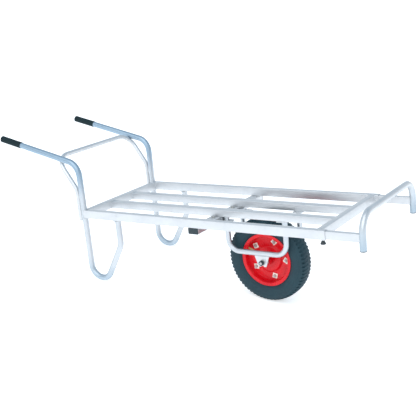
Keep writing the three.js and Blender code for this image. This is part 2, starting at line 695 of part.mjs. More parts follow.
// Outline of the tyre's section, from the bead over the shoulder to the middle of the tread and
// back inside. Heights on the sides are shares of the way from the rim flange to the tread.
function addTyre() {
  const half = TYRE_WIDTH / 2;
  const bead = BEAD_RADIUS + RIM_SHEET / 2 + GAP;
  const flange = rimRadius + GAP;
  const crown = TYRE_RADIUS - TREAD_THICKNESS;
  const outer = (share) => flange + share * (TYRE_RADIUS - flange);
  const inner = (share) => flange + share * (crown - flange);
  const outside = [
    [bead, beadFace], [flange, beadFace], [outer(0.14), half - 3], [outer(0.41), half],
    [outer(0.65), half - 1.5], [outer(0.865), half - 6], [outer(0.955), half - 13],
    [TYRE_RADIUS, half - 20],
  ];
  const inside = [
    [crown, half - 24], [inner(0.9), half - SIDEWALL_THICKNESS - 7],
    [inner(0.73), half - SIDEWALL_THICKNESS - 2], [inner(0.5), half - SIDEWALL_THICKNESS],
    [inner(0.17), half - SIDEWALL_THICKNESS - 5],
    [bead + BEAD_THICKNESS, beadFace - BEAD_THICKNESS + 1], [bead, beadFace - BEAD_THICKNESS],
  ];
  const profile = [...outside, ...mirrorProfile(outside), ...mirrorProfile(inside), ...inside];
  addMesh('tyre', turnedRing(profile.reverse(), WHEEL_SIDES), tyreRubber, wheelCentre);
}

function addInnerTube() {
  const circle = (radius) => circlePoints(radius, SECTION_SIDES)
    .map((point) => [innerTubeCentre + point.x, point.y]);
  const bore = VALVE_DIAMETER / 2 - VALVE_WALL;
  const shell = cut(
    turnedRing(circle(innerTubeRadius), INNER_TUBE_SIDES),
    turnedRing(circle(innerTubeRadius - TUBE_RUBBER), INNER_TUBE_SIDES),
    radialCylinder(bore, innerTubeCentre / 2, innerTubeCentre, VALVE_ANGLE, -valveOffset, BOLT_SIDES),
  );
  addMesh('inner_tube', shell, rubber, wheelCentre);

  const nearSide = valveOffset - VALVE_DIAMETER / 2;
  const seat = (innerTubeCentre - Math.sqrt(innerTubeRadius ** 2 - nearSide ** 2))
    * Math.cos(Math.PI / INNER_TUBE_SIDES) - GAP;
  const stem = radialCylinder(
    VALVE_DIAMETER / 2, seat - VALVE_LENGTH, seat, VALVE_ANGLE, -valveOffset, BOLT_SIDES);
  addMesh('valve_stem', stem, brass, wheelCentre);
}

// Half of the split rim: disc, stepped bowl, bead seat and rolled flange in one pressed sheet.
function rimHalfProfile() {
  const sheet = RIM_SHEET;
  const edge = RIM_WIDTH / 2;
  const across = (share) => HUB_RADIUS + share * (bowlRadius - HUB_RADIUS);
  const outline = [
    [HUB_RADIUS + GAP, DISC_OFFSET], [across(DISC_STEP), DISC_OFFSET], [flatInner, GAP / 2],
    [bowlRadius, GAP / 2], [BEAD_RADIUS - sheet / 2, 10], [BEAD_RADIUS - sheet / 4, edge - sheet],
    [rimRadius, edge - sheet],
  ];
  const back = [
    [rimRadius, edge], [BEAD_RADIUS - 1.5 * sheet, edge], [BEAD_RADIUS - 1.5 * sheet, 11],
    [bowlRadius - sheet / 2, GAP / 2 + sheet], [flatInner + sheet / 2, GAP / 2 + sheet],
    [across(DISC_STEP) + sheet / 2, DISC_OFFSET + sheet], [HUB_RADIUS + GAP, DISC_OFFSET + sheet],
  ];
  return [...outline, ...back];
}

function rimBoltPlaces() {
  return Array.from({ length: RIM_BOLT_COUNT }, (_, i) => {
    const angle = RIM_BOLT_START + (2 * Math.PI * i) / RIM_BOLT_COUNT;
    return { angle, x: rimBoltRadius * Math.cos(angle), z: rimBoltRadius * Math.sin(angle) };
  });
}

function addRim() {
  const boltHoles = (flip) => rimBoltPlaces().map(({ x, z }) =>
    cylinderY(RIM_BOLT_DIAMETER / 2 + GAP, -DISC_OFFSET, DISC_OFFSET, BOLT_SIDES)
      .translate(x, 0, flip * z));
  const valveHole = radialCylinder(
    VALVE_DIAMETER / 2 + GAP, bowlRadius - BOWL_DEPTH, rimRadius, -VALVE_ANGLE, valveOffset, BOLT_SIDES);
  const half = turnedRing(rimHalfProfile(), WHEEL_SIDES);
  addMesh('rim_half_left', cut(half, ...boltHoles(1)), redSteel, wheelCentre);
  const right = cut(half, ...boltHoles(-1), valveHole);
  addMesh('rim_half_right', right, redSteel, wheelCentre).rotation.x = Math.PI;
}

// Each bolt clamps the two discs between square washers, its head on the left and nut on the right.
function addRimBolts() {
  const face = GAP / 2 + RIM_SHEET + GAP;
  const washerFace = face + SQUARE_WASHER_THICKNESS;
  const radius = RIM_BOLT_DIAMETER / 2;
  const hexRadius = MEMBER_BOLT_FLATS / Math.sqrt(3);
  const square = (y) =>
    new THREE.BoxGeometry(squareWasher, SQUARE_WASHER_THICKNESS, squareWasher).translate(0, y, 0);
  const bolt = join(
    cylinderY(radius, -washerFace - RIM_BOLT_NUT - BOLT_END, washerFace + HEAD_ROOT, BOLT_SIDES),
    square(face + SQUARE_WASHER_THICKNESS / 2),
    square(-face - SQUARE_WASHER_THICKNESS / 2),
    cylinderY(hexRadius, washerFace, washerFace + RIM_BOLT_HEAD, 6),
    cylinderY(hexRadius, -washerFace - RIM_BOLT_NUT, -washerFace, 6),
  );
  rimBoltPlaces().forEach(({ angle, x, z }, i) => {
    const mesh = addMesh(`rim_bolt_${i + 1}`, bolt, zincSteel, [wheelX + x, 0, -wheelDepth + z]);
    mesh.rotation.y = WASHER_TURN - angle;
  });
}

function addHub() {
  const bore = BEARING_DIAMETER / 2 + GAP;
  const half = HUB_LENGTH / 2;
  const seat = half - BEARING_WIDTH - 2 * GAP;
  const axleBore = AXLE_DIAMETER / 2 + BEARING_SHOULDER;
  const profile = [
    [axleBore, -seat], [bore, -seat], [bore, -half], [HUB_RADIUS, -half],
    [HUB_RADIUS, half], [bore, half], [bore, seat], [axleBore, seat],
  ];
  addMesh('hub', turnedRing(profile, HUB_SIDES), redSteel, wheelCentre);

  const shaft = AXLE_DIAMETER / 2 + RUNNING_GAP;
  const from = seat + GAP;
  const ring = turnedRing(
    [[shaft, from], [BEARING_DIAMETER / 2, from], [BEARING_DIAMETER / 2, from + BEARING_WIDTH],
      [shaft, from + BEARING_WIDTH]], HUB_SIDES);
  for (const [side, sign] of SIDES) {
    const bearing = addMesh(`bearing_${side}`, ring, bearingSteel, wheelCentre);
    if (sign < 0) bearing.rotation.x = Math.PI;
  }
}

// ---------------------------------------------------------------- build and stand on the ground

addSideTubes();
addGrips();
addBraceHoop();
addSideRails();
addCrossRails();
addSlats();
addLegTabs();
addGuard();
addLockKnobs();
addCrossMember();
addHangers();
addAxleBrackets();
addAxle();
addTyre();
addInnerTube();
addRim();
addRimBolts();
addHub();

// Nose-up angle at which the feet of the leg loops and the tyre touch one plane.
function groundPitch() {
  const forward = wheelX - LEG_BEND;
  const rise = -wheelDepth - (LEG_BEND - LEG_DEPTH);
  const drop = TYRE_RADIUS - (LEG_BEND + tubeRadius);
  return Math.asin(drop / Math.hypot(forward, rise)) - Math.atan2(rise, forward);
}

deck.rotation.y = -groundPitch();
cart.updateMatrixWorld(true);
const box = new THREE.Box3().setFromObject(cart, true);
deck.position.set(-(box.min.x + box.max.x) / 2, 0, -box.min.z);
cart.updateMatrixWorld(true);

export default cart;
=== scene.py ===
import json
import math

import bmesh
import bpy
from mathutils import Matrix, Vector, noise


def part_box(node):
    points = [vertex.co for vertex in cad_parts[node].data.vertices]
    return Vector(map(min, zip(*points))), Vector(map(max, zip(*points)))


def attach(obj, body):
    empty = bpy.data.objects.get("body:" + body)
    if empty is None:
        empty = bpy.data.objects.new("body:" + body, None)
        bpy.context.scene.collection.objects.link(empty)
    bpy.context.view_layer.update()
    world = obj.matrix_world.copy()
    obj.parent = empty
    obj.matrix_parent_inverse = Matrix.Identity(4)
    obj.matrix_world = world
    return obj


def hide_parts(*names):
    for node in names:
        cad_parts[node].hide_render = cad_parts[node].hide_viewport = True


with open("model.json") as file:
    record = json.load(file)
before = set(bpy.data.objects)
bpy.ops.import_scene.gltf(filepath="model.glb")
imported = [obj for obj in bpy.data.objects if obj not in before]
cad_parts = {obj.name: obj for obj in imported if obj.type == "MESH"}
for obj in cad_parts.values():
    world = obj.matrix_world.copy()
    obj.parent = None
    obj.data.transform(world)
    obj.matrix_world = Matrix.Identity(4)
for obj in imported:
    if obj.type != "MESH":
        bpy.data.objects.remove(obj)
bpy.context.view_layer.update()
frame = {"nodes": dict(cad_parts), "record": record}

# ------------------------------------------------------------------ deck frame, in millimetres
# x runs forward along the deck from the corner posts' axis, y to the left,
# z up from the rail tops.

MM = 0.001
POST_Y = 249.0
MOUNT_X = 400.0
rail_top = next(m for m in frame["record"]["mounts"] if m["name"] == "rail_top_left")
deck_up = Vector(rail_top["axis"]).normalized()
deck_forward = Vector((deck_up.z, 0.0, -deck_up.x))
deck_left = Vector((0.0, 1.0, 0.0))
deck_origin = (
    Vector(rail_top["pos_m"]) - deck_forward * MOUNT_X * MM - deck_left * POST_Y * MM
)
DECK = Matrix.Identity(4)
for column, axis in enumerate((deck_forward, deck_left, deck_up)):
    for row in range(3):
        DECK[row][column] = axis[row] * MM
for row in range(3):
    DECK[row][3] = deck_origin[row]


def centre_of(node):
    low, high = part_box(node)
    return DECK.inverted() @ ((low + high) / 2)


SIDES = (("left", 1), ("right", -1))

# ------------------------------------------------------------------ materials


class Nodes:
    """A material's node tree, with short calls for the nodes used here."""

    def __init__(self, name):
        self.material = bpy.data.materials.new(name)
        self.material.use_nodes = True
        self.tree = self.material.node_tree
        self.bsdf = self.tree.nodes["Principled BSDF"]

    def add(self, kind, inputs=None, **settings):
        node = self.tree.nodes.new(kind)
        for key, value in settings.items():
            setattr(node, key, value)
        for key, value in (inputs or {}).items():
            if isinstance(value, bpy.types.NodeSocket):
                self.tree.links.new(value, node.inputs[key])
            else:
                node.inputs[key].default_value = value
        return node

    def coords(self, kind, scale):
        source = self.add("ShaderNodeTexCoord").outputs[kind]
        return self.add(
            "ShaderNodeMapping", {"Vector": source, "Scale": scale}
        ).outputs["Vector"]

    def noise(self, vector, scale, detail=3.0, rough=0.55, distortion=0.0):
        return self.add(
            "ShaderNodeTexNoise",
            {
                "Vector": vector,
                "Scale": scale,
                "Detail": detail,
                "Roughness": rough,
                "Distortion": distortion,
            },
        ).outputs["Fac"]

    def spread(self, value, low, high, start=0.3, end=0.7):
        return self.add(
            "ShaderNodeMapRange",
            {
                "Value": value,
                "From Min": start,
                "From Max": end,
                "To Min": low,
                "To Max": high,
            },
        ).outputs["Result"]

    def ramp(self, value, stops):
        node = self.add("ShaderNodeValToRGB", {"Fac": value})
        while len(node.color_ramp.elements) < len(stops):
            node.color_ramp.elements.new(0.5)
        for element, (place, color) in zip(node.color_ramp.elements, stops):
            element.position = place
            element.color = (*color, 1.0)
        return node.outputs["Color"]

    def mix(self, factor, a, b, blend="MIX"):
        node = self.add("ShaderNodeMix", data_type="RGBA", blend_type=blend)
        for socket, value in ((0, factor), (6, a), (7, b)):
            if isinstance(value, bpy.types.NodeSocket):
                self.tree.links.new(value, node.inputs[socket])
            elif socket == 0:
                node.inputs[socket].default_value = value
            else:
                node.inputs[socket].default_value = (*value, 1.0)
        return node.outputs[2]

    def bump(self, height, strength, distance, below=None):
        inputs = {"Height": height, "Strength": strength, "Distance": distance}
        if below is not None:
            inputs["Normal"] = below
        return self.add("ShaderNodeBump", inputs).outputs["Normal"]

    def finish(self, **sockets):
        for key, value in sockets.items():
            socket = self.bsdf.inputs[key.replace("_", " ")]
            if isinstance(value, bpy.types.NodeSocket):
                self.tree.links.new(value, socket)
            else:
                socket.default_value = value
        return self.material


def aluminium(name, dark, light, painted_reflection_heights=()):
    """Mill-finish metal drawn lengthwise. An optional ramp by height over the floor multiplies in a
    painted blue-grey reflection.
    """
    n = Nodes(name)
    along = n.coords("UV", (9.0, 1400.0, 1.0))
    place = n.coords("Object", (1.0, 1.0, 1.0))
    streaks = n.noise(along, 1.0, 4.0)
    cloud = n.noise(place, 9.0, 3.0)
    stain = n.noise(place, 60.0, 5.0, 0.65)
    base = n.ramp(cloud, ((0.3, dark), (0.7, light)))
    color = n.mix(
        n.spread(streaks, 0.0, 0.22, 0.25, 0.75), base, (0.52, 0.56, 0.60)
    )
    color = n.mix(n.spread(stain, 0.0, 0.25, 0.58, 0.72), color, (0.53, 0.57, 0.61))
    # painted reflection: the colour is multiplied by a blue-grey ramp by height over the floor, in
    # place of the surroundings mirrored in the metal
    if painted_reflection_heights:
        height = n.add("ShaderNodeSeparateXYZ", {"Vector": place}).outputs["Z"]
        color = n.mix(1.0, color, n.ramp(height, painted_reflection_heights), "MULTIPLY")
    rough = n.add(
        "ShaderNodeMath",
        {
            0: n.spread(streaks, 0.36, 0.48),
            1: n.spread(stain, -0.03, 0.07),
        },
        operation="ADD",
    ).outputs[0]
    normal = n.bump(streaks, 0.12, 0.0003)
    normal = n.bump(n.noise(place, 700.0, 2.0), 0.05, 0.0002, normal)
    return n.finish(Base_Color=color, Metallic=1.0, Roughness=rough, Normal=normal)


def weld_metal():
    n = Nodes("weld_metal")
    place = n.coords("Object", (1.0, 1.0, 1.0))
    grain = n.noise(place, 420.0, 4.0)
    cloud = n.noise(place, 70.0, 2.0)
    color = n.ramp(
        cloud, ((0.3, (0.50, 0.54, 0.57)), (0.72, (0.74, 0.76, 0.78)))
    )
    return n.finish(
        Base_Color=color,
        Metallic=1.0,
        Roughness=n.spread(grain, 0.32, 0.55),
        Normal=n.bump(grain, 0.35, 0.0004),
    )


def moulded(name, dark, light, grain_scale, depth, low, high, shine=0.5):
    """Rubber and plastic: a fine moulded grain, with dust in the lighter tint."""
    n = Nodes(name)
    place = n.coords("Object", (1.0, 1.0, 1.0))
    grain = n.noise(place, grain_scale, 4.0)
    cloud = n.noise(place, 22.0, 4.0, 0.6)
    color = n.ramp(cloud, ((0.32, dark), (0.72, light)))
    return n.finish(
        Base_Color=color,
        Roughness=n.spread(cloud, low, high),
        Normal=n.bump(grain, depth, 0.0004),
        Specular_IOR_Level=shine,
    )


def tyre_rubber():
    n = Nodes("tyre_rubber")
    place = n.coords("Object", (1.0, 1.0, 1.0))
    grain = n.noise(place, 900.0, 3.0)
    cloud = n.noise(place, 16.0, 5.0, 0.6)
    dust = n.noise(place, 120.0, 4.0, 0.7)
    color = n.ramp(
        cloud, ((0.28, (0.004, 0.027, 0.040)), (0.74, (0.012, 0.045, 0.060)))
    )
    color = n.mix(n.spread(dust, 0.0, 0.35, 0.5, 0.75), color, (0.028, 0.066, 0.084))
    return n.finish(
        Base_Color=color,
        Roughness=n.spread(cloud, 0.52, 0.7),
        Normal=n.bump(grain, 0.25, 0.0004),
        Specular_IOR_Level=0.35,
    )


def enamel():
    n = Nodes("red_enamel")
    place = n.coords("Object", (1.0, 1.0, 1.0))
    peel = n.noise(place, 260.0, 2.0)
    cloud = n.noise(place, 14.0, 3.0)
    chips = n.noise(place, 95.0, 5.0, 0.7)
    color = n.ramp(
        cloud, ((0.3, (0.60, 0.002, 0.010)), (0.7, (0.80, 0.006, 0.014)))
    )
    color = n.mix(n.spread(chips, 0.0, 0.5, 0.66, 0.74), color, (0.30, 0.02, 0.02))
    return n.finish(
        Base_Color=color,
        Roughness=n.spread(peel, 0.22, 0.34),
        Normal=n.bump(peel, 0.08, 0.0004),
        Specular_IOR_Level=0.3,
        Coat_Weight=0.1,
        Coat_Roughness=0.1,
    )


def plated(name, dark, light, low, high, metallic):
    n = Nodes(name)
    place = n.coords("Object", (1.0, 1.0, 1.0))
    grain = n.noise(place, 500.0, 3.0)
    cloud = n.noise(place, 90.0, 3.0)
    color = n.ramp(cloud, ((0.3, dark), (0.7, light)))
    return n.finish(
        Base_Color=color,
        Metallic=metallic,
        Roughness=n.spread(grain, low, high),
        Normal=n.bump(grain, 0.12, 0.0002),
    )


ALUMINIUM = aluminium("satin_aluminium", (0.650, 0.660, 0.675), (0.725, 0.735, 0.745))
# painted reflection: blue-grey on the hoop's lower part, white higher up
HOOP = aluminium(
    "hoop_aluminium_painted_reflection", (0.640, 0.655, 0.670), (0.715, 0.730, 0.740),
    ((0.42, (0.66, 0.77, 0.85)), (0.53, (1.0, 1.0, 1.0))),
)
# painted reflection: blue-grey near the floor and up at the handles, near white in between
TUBING = aluminium(
    "drawn_aluminium_painted_reflection", (0.630, 0.650, 0.670), (0.700, 0.720, 0.735),
    ((0.02, (0.66, 0.76, 0.84)), (0.10, (0.95, 0.96, 0.97)), (0.36, (0.92, 0.94, 0.96)),
     (0.46, (0.52, 0.66, 0.78))),
)
WELD = weld_metal()
GRIP = moulded(
    "grip_rubber", (0.003, 0.015, 0.019), (0.008, 0.027, 0.033), 1100.0, 0.3, 0.6, 0.75, 0.25
)
CAP = moulded(
    "cap_rubber", (0.010, 0.022, 0.028), (0.028, 0.046, 0.056), 900.0, 0.25, 0.5, 0.65
)
PLASTIC = moulded(
    "black_plastic", (0.012, 0.020, 0.024), (0.026, 0.038, 0.044), 1300.0, 0.2, 0.35, 0.5
)
BUTYL = moulded(
    "butyl_rubber", (0.010, 0.010, 0.011), (0.022, 0.022, 0.024), 500.0, 0.2, 0.45, 0.6
)
TYRE = tyre_rubber()
RED = enamel()
ZINC = plated(
    "zinc_plate", (0.95, 0.89, 0.76), (0.98, 0.94, 0.85), 0.45, 0.6, 0.05
)
BOLT = plated("bolt_zinc", (0.42, 0.42, 0.41), (0.60, 0.60, 0.58), 0.28, 0.42, 1.0)
DARK = plated("dark_steel", (0.030, 0.040, 0.050), (0.070, 0.085, 0.100), 0.35, 0.5, 0.9)
BEARING = plated("bearing_steel", (0.50, 0.51, 0.52), (0.66, 0.67, 0.68), 0.2, 0.34, 1.0)
BRASS = plated("valve_brass", (0.52, 0.40, 0.18), (0.70, 0.57, 0.30), 0.3, 0.45, 1.0)

# ------------------------------------------------------------------ mesh helpers


def make(name, body, slot, material, verts, faces, replaces=(), uvs=None,
         sharp=38.0, bevel=0.0, place=DECK):
    """A piece from deck coordinates in millimetres, riding on a CAD body."""
    mesh = bpy.data.meshes.new(name)
    mesh.from_pydata([tuple(v) for v in verts], [], faces)
    if uvs:
        layer = mesh.uv_layers.new(name="UVMap")
        for loop, uv in zip(layer.data, (uv for face in uvs for uv in face)):
            loop.uv = uv
    edit = bmesh.new()
    edit.from_mesh(mesh)
    bmesh.ops.recalc_face_normals(edit, faces=edit.faces)
    edit.to_mesh(mesh)
    edit.free()
    mesh.transform(place)
    mesh.shade_smooth()
    mesh.set_sharp_from_angle(angle=math.radians(sharp))
    mesh.materials.append(material)
    obj = bpy.data.objects.new(name, mesh)
    bpy.context.scene.collection.objects.link(obj)
    if bevel:
        modifier = obj.modifiers.new("edge", "BEVEL")
        modifier.width = bevel * MM
        modifier.segments = 2
        modifier.limit_method = "ANGLE"
        modifier.angle_limit = math.radians(40)
        modifier.harden_normals = True
    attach(obj, body)
    if replaces:
        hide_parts(*replaces)
    return obj


def loft(rings, closed, first=0):
    """Quads between rings of equally many points. Open lofts are capped at both ends."""
    count = len(rings[0])
    rows = len(rings)
    middles = [sum(ring, Vector()) / count for ring in rings]
    along = [0.0]
    for i in range(1, rows + 1):
        step = (middles[i % rows] - middles[i - 1]).length
        reach = (rings[i % rows][0] - rings[i - 1][0]).length
        along.append(along[-1] + max(step, reach) * MM)
    around = [0.0]
    widest = max(rings, key=lambda ring: (ring[0] - ring[1]).length)
    for j in range(1, count + 1):
        around.append(around[-1] + (widest[j % count] - widest[j - 1]).length * MM)
    verts = [point for ring in rings for point in ring]
    faces, uvs = [], []
    for i in range(rows if closed else rows - 1):
        for j in range(count):
            k, m = (i + 1) % rows, (j + 1) % count
            faces.append(
                tuple(first + n for n in
                      (i * count + j, i * count + m, k * count + m, k * count + j))
            )
            uvs.append(
                ((along[i], around[j]), (along[i], around[j + 1]),
                 (along[i + 1], around[j + 1]), (along[i + 1], around[j]))
            )
    if not closed:
        for row, turn in ((0, -1), (rows - 1, 1)):
            cap = [first + row * count + j for j in range(count)][::turn]
            faces.append(tuple(cap))
            middle = middles[row]
            uvs.append(
                tuple(((verts[n - first] - middle).x * MM, (verts[n - first] - middle).y * MM)
                      for n in cap)
            )
    return verts, faces, uvs


class Parts:
    """Several closed bodies in one mesh."""

    def __init__(self):
        self.verts, self.faces, self.uvs = [], [], []

    def add(self, rings, closed=False, place=None):
        if place is not None:
            rings = [[place @ p for p in ring] for ring in rings]
        verts, faces, uvs = loft(rings, closed, len(self.verts))
        self.verts += verts
        self.faces += faces
        self.uvs += uvs
        return self

    def make(self, name, body, slot, material, replaces=(), **settings):
        return make(name, body, slot, material, self.verts, self.faces, replaces,
                    self.uvs, **settings)


def stations(corners, bends, step=math.radians(6)):
    """Points and headings along straight stretches joined by round bends."""
    corners = [Vector(c) for c in corners]
    heading = [(b - a).normalized() for a, b in zip(corners, corners[1:])]
    path = [(corners[0], heading[0])]
    for i, radius in enumerate(bends, 1):
        into, out = heading[i - 1], heading[i]
        turn = into.angle(out)
        axis = into.cross(out).normalized()
        start = corners[i] - into * radius * math.tan(turn / 2)
        middle = start + axis.cross(into) * radius
        steps = max(3, round(turn / step))
        for k in range(steps + 1):
            spin = Matrix.Rotation(turn * k / steps, 3, axis)
            path.append((middle + spin @ (start - middle), spin @ into))
    path.append((corners[-1], heading[-1]))
    return path


def frames(path):
    """The path's stations with two side directions that do not twist."""
    point, tangent = path[0]
    side = tangent.orthogonal().normalized()
    framed = []
    for point, following in path:
        side = (tangent.rotation_difference(following) @ side).normalized()
        tangent = following
        framed.append((point, side, tangent.cross(side).normalized()))
    return framed


def circle(radius, sides):
    return [(radius * math.cos(2 * math.pi * k / sides), radius * math.sin(2 * math.pi * k / sides))
            for k in range(sides)]


def sweep(path, section):
    return [[point + a * x + b * y for x, y in section] for point, a, b in frames(path)]


def tube_rings(corners, bends, radius, wall, sides=32, lip=0.4):
    """A hollow tube with its two cut ends eased."""
    path = stations(corners, bends)
    (start, first), (end, last) = path[0], path[-1]
    eased = [(start + first * lip, first)] + path[1:-1] + [(end - last * lip, last)]
    edge = sweep(path, circle(radius - lip, sides))
    outside = sweep(eased, circle(radius, sides))
    inside = sweep(path, circle(radius - wall, sides))
    return [edge[0]] + outside + [edge[-1]] + inside[::-1]


def rounded(width, height, radius, steps=3):
    """A rectangle's outline with round corners."""
    points = []
    for k, (sx, sy) in enumerate(((1, 1), (-1, 1), (-1, -1), (1, -1))):
        cx, cy = sx * (width / 2 - radius), sy * (height / 2 - radius)
        for i in range(steps + 1):
            angle = math.pi / 2 * (k + i / steps)
            points.append((cx + radius * math.cos(angle), cy + radius * math.sin(angle)))
    return points


def box_tube_rings(width, height, wall, start, end, at, corner=2.4):
    """A box tube. start and end give its ends for each place in the section; at places a point."""
    outer = rounded(width, height, corner)
    inner = rounded(width - 2 * wall, height - 2 * wall, max(corner - wall, 0.5))
    ease = 0.35
    smaller = rounded(width - 2 * ease, height - 2 * ease, corner - ease)

    def ring(section, edge, inset=0.0):
        return [at(edge(a, b) + inset, a, b) for a, b in section]

    return [
        ring(smaller, start), ring(outer, start, ease), ring(outer, end, -ease),
        ring(smaller, end), ring(inner, end), ring(inner, start),
    ]


def turned(profile, sides=32, place=None):
    """Rings about +Z from (radius, height) pairs."""
    rings = [[Vector((x, y, height)) for x, y in circle(radius, sides)]
             for radius, height in profile]
    if place is not None:
        rings = [[place @ p for p in ring] for ring in rings]
    return rings


def hexed(flats, low, high, chamfer=0.9, sides=48):
    """A hexagon head with its corners turned off on top."""
    def reach(k, limit):
        angle = 2 * math.pi * k / sides
        nearest = (angle + math.pi / 6) % (math.pi / 3) - math.pi / 6
        return min(flats / 2 / math.cos(nearest), limit)

    def ring(limit, z):
        return [Vector((reach(k, limit) * math.cos(2 * math.pi * k / sides),
                        reach(k, limit) * math.sin(2 * math.pi * k / sides), z))
                for k in range(sides)]

    wide = flats
    inward = 0.98 * flats / 2
    return [ring(inward, low), ring(wide, low + 0.3),
            ring(wide, high - chamfer), ring(inward, high)]


def threaded(radius, low, high, pitch=1.25, sides=24):
    """A bolt's end with ring-shaped threads and a chamfer."""
    profile = []
    z = low
    while z + pitch < high:
        profile += [(radius - 0.55, z), (radius, z + pitch * 0.5)]
        z += pitch
    profile += [(radius - 0.55, z), (radius - 0.9, high)]
    return turned(profile, sides)


def fillet(points, radii, steps=4, closed=True):
    """A 2D outline with round corners."""
    rounded_points = []
    count = len(points)
    for i, (corner, radius) in enumerate(zip(points, radii)):
        if radius <= 0 or (not closed and i in (0, count - 1)):
            rounded_points.append(corner)
            continue
        here = Vector(corner)
        before = Vector(points[i - 1]) - here
        after = Vector(points[(i + 1) % count]) - here
        half = before.angle(after) / 2
        setback = min(radius / math.tan(half), before.length * 0.48, after.length * 0.48)
        radius = setback * math.tan(half)
        a, b = before.normalized(), after.normalized()
        middle = here + (a + b).normalized() * (radius / math.sin(half))
        start, end = here + a * setback - middle, here + b * setback - middle
        turn = start.angle_signed(end)
        for k in range(steps + 1):
            angle = -turn * k / steps
            rounded_points.append((
                middle.x + start.x * math.cos(angle) - start.y * math.sin(angle),
                middle.y + start.x * math.sin(angle) + start.y * math.cos(angle),
            ))
    return rounded_points


def offset(x, y, z):
    return Matrix.Translation((x, y, z))


# ------------------------------------------------------------------ bent tubes

# radii of the tubes, and their wall
TUBE = 12.7
BRACE = 10.0
HANGER = 11.1
WALL = 2.0
HANDLE_SLOPE = math.radians(13.4)
HANDLE_TOP = 200.5
GRIP_START = 452.0
IN_GRIP = GRIP_START - 5.3
LEG_FOOT = 307.5
LEG_X = 184.0

for side, sign in SIDES:
    y = sign * POST_Y
    line = [
        (-IN_GRIP * math.cos(HANDLE_SLOPE), y, HANDLE_TOP + IN_GRIP * math.sin(HANDLE_SLOPE)),
        (0, y, HANDLE_TOP), (0, y, -LEG_FOOT), (88.3, y, -LEG_FOOT), (LEG_X, y, -146.5),
        (LEG_X, y, -39.6),
    ]
    Parts().add(tube_rings(line, (65, 55, 55, 60), TUBE, WALL), closed=True).make(
        f"side_tube_{side}_look", "frame", "aluminium", TUBING, [f"side_tube_{side}"])

APART = TUBE + BRACE + 0.3
BAR_X = -119.0
BAR_Z = HANDLE_TOP - BAR_X * math.tan(HANDLE_SLOPE)
half = [(-APART, POST_Y, -50), (-APART, POST_Y, 86), (BAR_X, POST_Y, BAR_Z)]
hoop = half + [(x, -y, z) for x, y, z in reversed(half)]
Parts().add(tube_rings(hoop, (60, 68, 68, 60), BRACE, 1.8, sides=28), closed=True).make(
    "brace_hoop_look", "frame", "aluminium", ALUMINIUM, ["brace_hoop"])

GUARD_X = 1299.0
Parts().add(
    tube_rings(
        [(GUARD_X, -POST_Y, -66), (GUARD_X, -POST_Y, 65), (GUARD_X, POST_Y, 65),
         (GUARD_X, POST_Y, -66)], (70, 70), TUBE, WALL),
    closed=True,
).make("guard_hoop_look", "guard", "aluminium", HOOP, ["guard_hoop"])

HANGER_Y = 62.0
HANGER_REAR, HANGER_FRONT = 612.9, 884.9
HANGER_Z = -189.0
for side, sign in SIDES:
    y = sign * HANGER_Y
    Parts().add(
        tube_rings(
            [(HANGER_REAR, y, -40.6), (HANGER_REAR, y, HANGER_Z), (HANGER_FRONT, y, HANGER_Z),
             (HANGER_FRONT, y, -40.6)], (50, 50), HANGER, WALL, sides=28),
        closed=True,
    ).make(f"wheel_hanger_{side}_look", "frame", "aluminium", TUBING, [f"wheel_hanger_{side}"])

# ------------------------------------------------------------------ grips

FLUTES = 22
GRIP_SIDES = FLUTES * 6


def grip_ring(radius, x, depth):
    ring = []
    for k in range(GRIP_SIDES):
        angle = 2 * math.pi * k / GRIP_SIDES
        r = radius - depth * (0.5 - 0.5 * math.cos(angle * FLUTES)) ** 2
        ring.append(Vector((r * math.cos(angle), r * math.sin(angle), x)))
    return ring


for side, sign in SIDES:
    outer = 14.4
    profile = [(outer - 4.2, 0.0, 0), (outer - 1.9, 0.4, 0), (outer - 0.5, 1.6, 0),
               (outer, 3.4, 0), (outer, 8.2, 0), (outer - 0.5, 9.0, 0), (outer - 0.5, 10.4, 0)]
    profile += [(outer, 11.2, 0), (outer, 13.0, 0.75)]
    profile += [(outer, 13.0 + 92.0 * k / 8, 0.75) for k in range(1, 9)]
    profile += [(outer, 107.0, 0), (outer - 0.5, 107.8, 0), (outer - 0.5, 109.4, 0),
                (outer, 110.2, 0), (outer, 118.6, 0), (outer - 0.7, 119.7, 0),
                (13.1, 120.0, 0), (13.0, 100.0, 0), (12.9, 5.2, 0)]
    rings = [grip_ring(r, x, d) for r, x, d in profile]
    place = (
        offset(-GRIP_START * math.cos(HANDLE_SLOPE), sign * POST_Y,
               HANDLE_TOP + GRIP_START * math.sin(HANDLE_SLOPE))
        @ Matrix.Rotation(math.pi / 2 + HANDLE_SLOPE, 4, "Y")
    )
    Parts().add(rings, place=place).make(
        f"grip_{side}_look", "frame", "grip_rubber", GRIP, [f"grip_{side}"], sharp=50)

# ------------------------------------------------------------------ deck rails

RAIL_W, RAIL_H, RAIL_END = 25.0, 36.0, 1158.0
SLIDE_W, SLIDE_H, SLIDE_LENGTH = 19.8, 30.8, 400
COPE = TUBE + 0.3


def coped(centre, sign):
    """Where a box tube ends on a round post, for a place across it."""
    return lambda a, b: centre + sign * math.sqrt(max(COPE ** 2 - a * a, 0.0))


for side, sign in SIDES:
    rail = box_tube_rings(
        RAIL_W, RAIL_H, WALL, coped(0, 1), lambda a, b: RAIL_END,
        lambda s, a, b: Vector((s, sign * POST_Y + a, b - RAIL_H / 2)))
    Parts().add(rail, closed=True).make(
        f"side_rail_{side}_look", "frame", "aluminium", ALUMINIUM, [f"side_rail_{side}"])
    slide = box_tube_rings(
        SLIDE_W, SLIDE_H, WALL, lambda a, b: GUARD_X - SLIDE_LENGTH, coped(GUARD_X, -1),
        lambda s, a, b: Vector((s, sign * POST_Y + a, b - RAIL_H / 2)), corner=2.0)
    Parts().add(slide, closed=True).make(
        f"slide_tube_{side}_look", "guard", "aluminium", ALUMINIUM, [f"slide_tube_{side}"])

